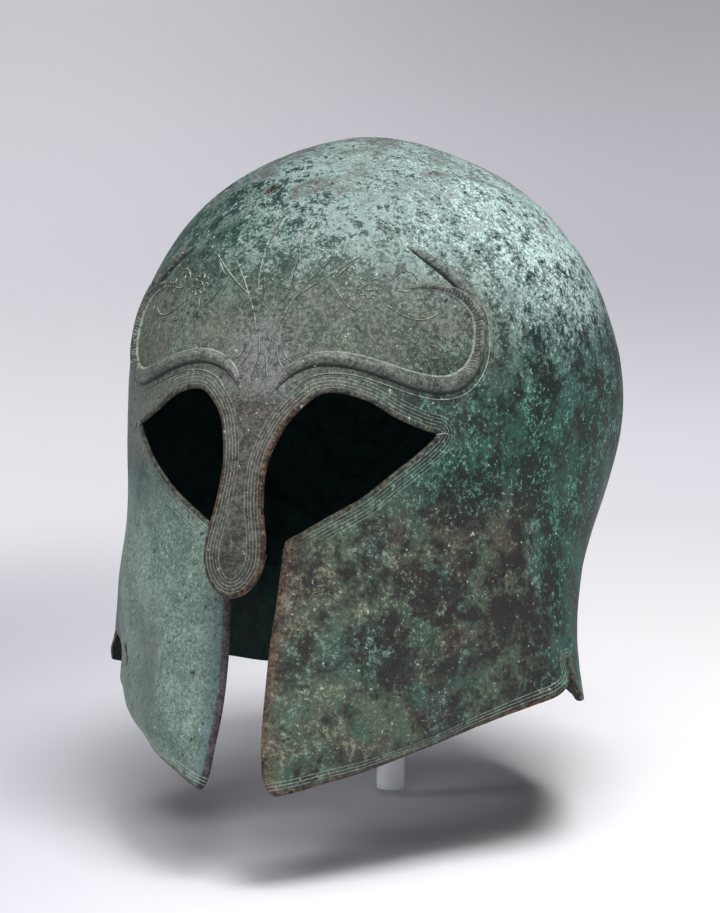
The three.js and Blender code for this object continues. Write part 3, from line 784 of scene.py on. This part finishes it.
# ---- the brow ridges -------------------------------------------------------------------------
# A raised band over each eye, punched out from inside. It rises from the nose, runs over the eye,
# turns up at the temple and forks into a fine curl and a longer barb.
RIDGE_HEIGHT = 2.7
RIDGE_FULL = 2.8  # half-width from which it has its full height
RIDGE_SQUARENESS = 0.62  # below 1 its top is flatter than a cosine
RIDGE_MAIN = [  # degrees, height, half-width
    [3.6, 149, 0.5], [4.4, 152, 1.2], [6.2, 156, 2.1],
    [8.8, 158.8, 2.5], [12, 160.2, 2.8], [16, 159.9, 2.9],
    [21, 157.7, 3], [26, 154.3, 3.1], [31, 151.3, 3.3], [35.5, 150.2, 3.4], [39.5, 152, 3.3],
    [42.3, 156.4, 3], [44, 162, 2.8], [44.9, 168.5, 2.8], [45, 175, 3], [43.4, 180.3, 3],
    [40.4, 184, 2.3], [36.5, 186, 1.6], [32.5, 186.4, 1.1], [29, 186, 0.35],
]
RIDGE_BARB = [
    [45.2, 170, 0.8], [45.1, 176, 2.8], [44.4, 181.5, 3.3], [42.4, 186.6, 3.3], [39.6, 191.2, 3],
    [36.4, 195.2, 2.5], [33.2, 198.6, 1.7], [30, 201.6, 0.4],
]


def dented(angle, height):
    """Point and normal of the finished outside, with its dents, at degrees and heights."""
    point, normal = sheet_frame(angle, row_of(height))
    return point + normal * unevenness(point)[..., None], normal


def raised_band(name, table, side, outer, sunk=0.25, across_steps=22, step=0.45):
    """A band along a line of the sheet. Across it the height is a flat-topped cosine, so that its
    feet run out level into the sheet. Outer is 1 or -1: it puts the painted shadow on one foot and
    the hatching and painted highlight line on the other side."""
    known = np.array(table, float)
    line = smooth_line(known[:, :2], step)
    along_known = run_length(known[:, :2])
    share = np.linspace(0, 1, len(line))
    half = smooth_through(along_known / along_known[-1], known[:, 2])(share)[:, 0]
    middle, normal = dented(side * line[:, 0], line[:, 1])
    along = np.gradient(middle, axis=0)
    along /= np.linalg.norm(along, axis=1)[:, None]
    sideways = np.cross(normal, along) * side
    across = np.linspace(-1, 1, across_steps + 1)
    profile = (0.5 + 0.5 * np.cos(np.pi * across)) ** RIDGE_SQUARENESS
    top = RIDGE_HEIGHT * np.minimum(1, half / RIDGE_FULL)
    lift = profile * top[:, None] - sunk * (np.abs(across) > 0.97)
    foot = middle[:, None] + sideways[:, None] * (half[:, None] * across)[..., None] * 1.12
    upper = foot + normal[:, None] * lift[..., None]
    lower = foot[:, ::-1][:, 1:-1] - normal[:, None] * (sunk + 0.35)
    loop = np.concatenate([upper, lower], 1)
    count, wide = loop.shape[:2]
    ids = np.arange(count * wide).reshape(count, wide)
    nxt = np.roll(ids, -1, axis=1)
    walls = np.stack([ids[:-1], nxt[:-1], nxt[1:], ids[1:]], -1).reshape(-1, 4)
    tris = np.vstack([walls[:, [0, 1, 2]], walls[:, [0, 2, 3]]])
    caps = []
    for row, flip in ((ids[0], 1), (ids[-1], -1)):
        fan = np.stack([np.full(wide - 2, row[0]), row[1:-1], row[2:]], -1)
        caps.append(fan[:, ::-1] if flip > 0 else fan)
    tris = np.vstack([tris] + caps)
    tris = tris if side < 0 else tris[:, ::-1]
    distance = np.r_[0, np.cumsum(np.linalg.norm(np.diff(middle, axis=0), axis=1))]
    on_loop = np.concatenate([across, across[::-1][1:-1]])
    piece = mesh_object(name, loop.reshape(-1, 3), tris, {
        "along": np.repeat(distance, wide),
        "across": np.tile(on_loop, count) * outer,
        "outside": np.ones(count * wide),
        "edge": np.full(count * wide, 25.0),
        "nose": np.zeros(count * wide),
    })
    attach(piece, "root")
    return piece


bands = [
    raised_band(f"brow_{kind}_{word}", table, side, outer)
    for side, word in ((1, "left"), (-1, "right"))
    for kind, table, outer in (("ridge", RIDGE_MAIN, 1), ("barb", RIDGE_BARB, -1))
]
band_finish = bronze_finish("bronze_band", "band")
for band in bands:
    band.data.materials.append(band_finish)


# ---- the engraved lines ----------------------------------------------------------------------
# Cut with a graver over the brow: a rosette on a stem, palmette leaves and paired border curves.
# Here they are fine threads that stand just proud of the sheet, so that they catch the light.
THREAD_HALF = 0.3
THREAD_PROUD = 0.28
THREAD_SUNK = 0.3
THREADS = [  # degrees and heights
    [[19.2, 181.5], [18, 178.3], [16.3, 179.5], [14.5, 183.5], [12.7, 187.6]],
    [[4.9, 182.8], [9, 187.5], [14, 193.2], [18.9, 198.4]],
    [[13.4, 190.6], [15.4, 193.2], [17.6, 196.5]],
    [[3.1, 166.5], [3.0, 162], [3.8, 158.5], [4.9, 156]],
    [[4.1, 167], [4.2, 163], [5.1, 160.4], [6.4, 159.2]],
    [[1.4, 168.5], [0.9, 163], [1.1, 157.5], [1.7, 153]],
    [[11.8, 196.4], [8.2, 190], [5.2, 182.5], [3.2, 175.5], [2.2, 169.5]],
    [[3.2, 215], [3.9, 206], [4.2, 196], [3.6, 186]],
    [[25.4, 189], [28.5, 192.2], [31.2, 190.5], [31.4, 186.9], [28.9, 184.9], [26.3, 185.6]],
    [[24, 180.5], [28, 176], [32.5, 174.5], [36, 177]],
    [[33.6, 131.6], [35.8, 131.9], [37.2, 130.9], [37.9, 128.2]],
    [[6.8, 147.5], [8, 151], [10.5, 153.8], [14, 154.9], [18, 154.1], [23, 151.2], [28, 147.6],
     [32, 145.3], [36, 144.6], [40, 146], [43.6, 150.4], [46, 156.5], [47.1, 163], [47.4, 170],
     [47, 177], [45.4, 184], [42.4, 190], [38.4, 195.6]],
]
ROSETTE = {"angle": 20.6, "height": 186.6, "radius": 4.7, "petals": 8}
turn = np.linspace(0, 2 * np.pi, 97)
petal = 0.62 + 0.38 * np.abs(np.cos(ROSETTE["petals"] * turn / 2))
for size_share, shape in ((1, petal), (0.3, np.ones_like(turn))):
    reach = ROSETTE["radius"] * size_share * shape
    THREADS.append(np.stack([
        ROSETTE["angle"] + reach * np.cos(turn) / 1.75,
        ROSETTE["height"] + reach * np.sin(turn) * 0.86,
    ], -1))


def threads(name, lines):
    """Thin bands of lens shape along lines of the sheet, both sides of the face, in one mesh."""
    points, faces, first = [], [], 0
    for side in (1, -1):
        for known in lines:
            line = smooth_line(known, 0.5)
            middle, normal = dented(side * line[:, 0], line[:, 1])
            along = np.gradient(middle, axis=0)
            along /= np.linalg.norm(along, axis=1)[:, None]
            sideways = np.cross(normal, along)
            sideways *= np.where(sideways[:, 2:] < 0, -1, 1)
            steps = np.arange(len(line))
            taper = np.minimum(1, np.minimum(steps, steps[::-1]) / 4 + 0.15)
            width = (THREAD_HALF * taper)[:, None]
            corners = [
                middle + sideways * width, middle + normal * THREAD_PROUD * taper[:, None],
                middle - sideways * width, middle - normal * THREAD_SUNK,
            ]
            loop = np.stack(corners, 1)
            ids = first + np.arange(len(line) * 4).reshape(-1, 4)
            turned = np.roll(ids, -1, axis=1)
            quads = np.stack([ids[:-1], ids[1:], turned[1:], turned[:-1]], -1).reshape(-1, 4)
            ends = np.array([ids[0], ids[-1][::-1]])
            quads = np.vstack([quads, ends])
            faces.append(quads)
            points.append(loop.reshape(-1, 3))
            first += len(line) * 4
    lines_long = len(np.vstack(points)) // 4
    piece = mesh_object(name, np.vstack(points), np.vstack(faces), {
        "across": np.tile([1.0, 0.0, -1.0, 0.0], lines_long),
        "edge": np.full(lines_long * 4, 30.0),
        "outside": np.ones(lines_long * 4),
        "nose": np.zeros(lines_long * 4),
    })
    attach(piece, "root")
    return piece


engraved = threads("engraved_lines", THREADS)
engraved.data.materials.append(bronze_finish("bronze_thread", "thread"))


# ---- the stand -------------------------------------------------------------------------------
# A clear acrylic rod with a turned disc foot, and a dark foam pad under the crown.
def clear_finish(name, low, high):
    """Acrylic: clear, with a frosting that is thickest near the ground. Low and high are how much
    of the frosting shows above and near the foot."""
    material = bpy.data.materials.new(name)
    material.use_nodes = True
    tree = material.node_tree
    shader = tree.nodes["Principled BSDF"]
    top = Wire(tree)
    here = top.make("ShaderNodeTexCoord", output=3)
    level = top.make("ShaderNodeSeparateXYZ", {}, {0: here}, 2)
    smear = here.grain(14, 4, 0.6, 0.5)
    shader.inputs["Base Color"].default_value = rgb(232, 236, 240)
    shader.inputs["IOR"].default_value = 1.49
    tree.links.new(smear.step(0.3, 0.75, 0.15, 0.4).socket, shader.inputs["Roughness"])
    tree.links.new(level.step(0.075, 0.035, low, high).socket, shader.inputs["Alpha"])
    return material


def foam_finish(name):
    """Closed-cell foam, dark and dull, with open pores."""
    material = bpy.data.materials.new(name)
    material.use_nodes = True
    tree = material.node_tree
    shader = tree.nodes["Principled BSDF"]
    top = Wire(tree)
    here = top.make("ShaderNodeTexCoord", output=3)
    pores = here.grain(1.1, 3, 0.6)
    colour = pores.step(0.35, 0.6).tint(rgb(26, 27, 28), rgb(62, 64, 66))
    bump = top.make("ShaderNodeBump", {}, {"Strength": 1.0, "Distance": 0.0004, "Height": pores})
    shader.inputs["Roughness"].default_value = 0.9
    tree.links.new(colour.socket, shader.inputs["Base Color"])
    tree.links.new(bump.socket, shader.inputs["Normal"])
    return material


for name, low, high in (("stand_base", 0.015, 0.015), ("stand_post", 0.0, 0.85)):
    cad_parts[name].data.materials.clear()
    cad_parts[name].data.materials.append(clear_finish(name + "_acrylic", low, high))
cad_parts["stand_pad"].data.materials.clear()
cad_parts["stand_pad"].data.materials.append(foam_finish("pad_foam"))


# ---- floor, backdrop and light ---------------------------------------------------------------
# A pale round studio cove: a level floor that curves up into its wall all round. Near the stand
# it takes light and shadow, and its paper is painted darker to the left as painted shade. Farther
# out it glows by itself, in cool tones that darken upward and to the right, while its glow on the
# floor close in is darker to the left, again as painted shade.
COVE_FLAT = 2.2  # metres, where the floor starts to turn up
COVE_BEND = 1.3
COVE_TOP = 5.0
COVE_DROP = 0.0002  # keeps the floor just clear of the stand's foot


def cove(name):
    """A disc that turns up at its rim, as a profile of radius and height carried round."""
    turn = np.linspace(0, 2 * np.pi, 97)[:-1]
    bend = np.linspace(0, np.pi / 2, 13)
    radius = np.r_[0.02, 0.6, 1.4, COVE_FLAT + COVE_BEND * np.sin(bend), COVE_FLAT + COVE_BEND]
    height = np.r_[0, 0, 0, COVE_BEND - COVE_BEND * np.cos(bend), COVE_TOP]
    grid = np.stack([
        radius[:, None] * np.cos(turn), radius[:, None] * np.sin(turn),
        np.repeat(height[:, None], len(turn), 1) - COVE_DROP,
    ], -1)
    ids = np.arange(grid.shape[0] * len(turn)).reshape(grid.shape[0], -1)
    nxt = np.roll(ids, -1, axis=1)
    quads = np.stack([ids[:-1], ids[1:], nxt[1:], nxt[:-1]], -1).reshape(-1, 4)
    centre = np.full(len(turn), ids.size)
    fan = np.stack([centre, ids[0], nxt[0]], -1)
    faces = np.vstack([quads[:, [0, 1, 2]], quads[:, [0, 2, 3]], fan])
    points = np.vstack([grid.reshape(-1, 3), [0, 0, -COVE_DROP]])
    return mesh_object(name, points * 1000, faces, {})


floor = cove("studio_cove")
paint = bpy.data.materials.new("cove_paint")
paint.use_nodes = True
paint_top = Wire(paint.node_tree)
paint_place = paint_top.make("ShaderNodeTexCoord", output=3)
paint_split = paint_top.make("ShaderNodeSeparateXYZ", {}, {0: paint_place})
across_cove, depth_cove, level = [
    Wire(paint.node_tree, paint_split.socket.node.outputs[i]) for i in range(3)
]
rightward = across_cove * 0.93 + depth_cove * 0.38
reach = paint_place.make("ShaderNodeVectorMath", {"operation": "LENGTH"}, {0: paint_place}, 1)
far = (reach - 1) * 0.12 + level
sideways = rightward.step(-0.6, 0.6)
# Close in, the floor's glow is darker to the left: painted shade.
close_glow_painted_shade = sideways.step(0.3, 0.75).tint(rgb(214, 213, 222), rgb(253, 253, 255))
horizon_tone = sideways.tint(rgb(232, 230, 236), rgb(226, 224, 232))
near_tone = far.step(-0.09, 0.01).tint(close_glow_painted_shade, horizon_tone)
middle_tone = sideways.tint(rgb(210, 209, 217), rgb(189, 187, 196))
upper_tone = sideways.tint(rgb(199, 197, 203), rgb(164, 159, 166))
lower_wall = far.step(-0.05, 0.42).tint(near_tone, middle_tone)
wall_tone = far.step(0.42, 1.05).tint(lower_wall, upper_tone)
wall_tone = level.step(0.8, 1.5).tint(wall_tone, rgb(30, 30, 32))
glow = reach.step(0.14, 0.95)
# The pale floor near the stand is painted darker to the left: painted shade.
paper_painted_shade = rightward.step(-0.34, 0.16).tint(rgb(184, 186, 195), rgb(246, 245, 249))
black = rgb(0, 0, 0)
shader = paint.node_tree.nodes["Principled BSDF"]
paint.node_tree.links.new(glow.tint(paper_painted_shade, black).socket, shader.inputs["Base Color"])
paint.node_tree.links.new(glow.tint(black, wall_tone).socket, shader.inputs["Emission Color"])
shader.inputs["Emission Strength"].default_value = 1.0
shader.inputs["Specular IOR Level"].default_value = 0.0
shader.inputs["Roughness"].default_value = 0.9
floor.data.materials.append(paint)


def soft_box(name, place, target, size, power, tone):
    """A square soft box that faces its target, with its side in metres and its power in watts."""
    data = bpy.data.lights.new(name, "AREA")
    data.energy = power
    data.size = size
    data.color = tone
    box = bpy.data.objects.new(name, data)
    box.location = place
    box.rotation_euler = (Vector(target) - box.location).to_track_quat("-Z", "Y").to_euler()
    bpy.context.scene.collection.objects.link(box)


HELMET_MIDDLE = (0, 0, 0.15)
soft_box("key_light", (0.55, -0.5, 1.6), HELMET_MIDDLE, 0.6, 23, (1, 0.995, 0.985))
soft_box("front_light", (0.3, -1.2, 1.5), HELMET_MIDDLE, 0.8, 13, (1, 1, 1))
soft_box("crown_light", (0.0, -0.1, 1.6), HELMET_MIDDLE, 0.8, 7, (1, 1, 1))
soft_box("left_light", (-1.3, -1.0, 0.55), (0, 0, 0.12), 0.6, 5.5, (0.97, 0.98, 1))
world = bpy.data.worlds.new("world")
bpy.context.scene.world = world
world.use_nodes = True
world.node_tree.nodes["Background"].inputs[0].default_value = rgb(236, 236, 244)
world.node_tree.nodes["Background"].inputs[1].default_value = 0.08
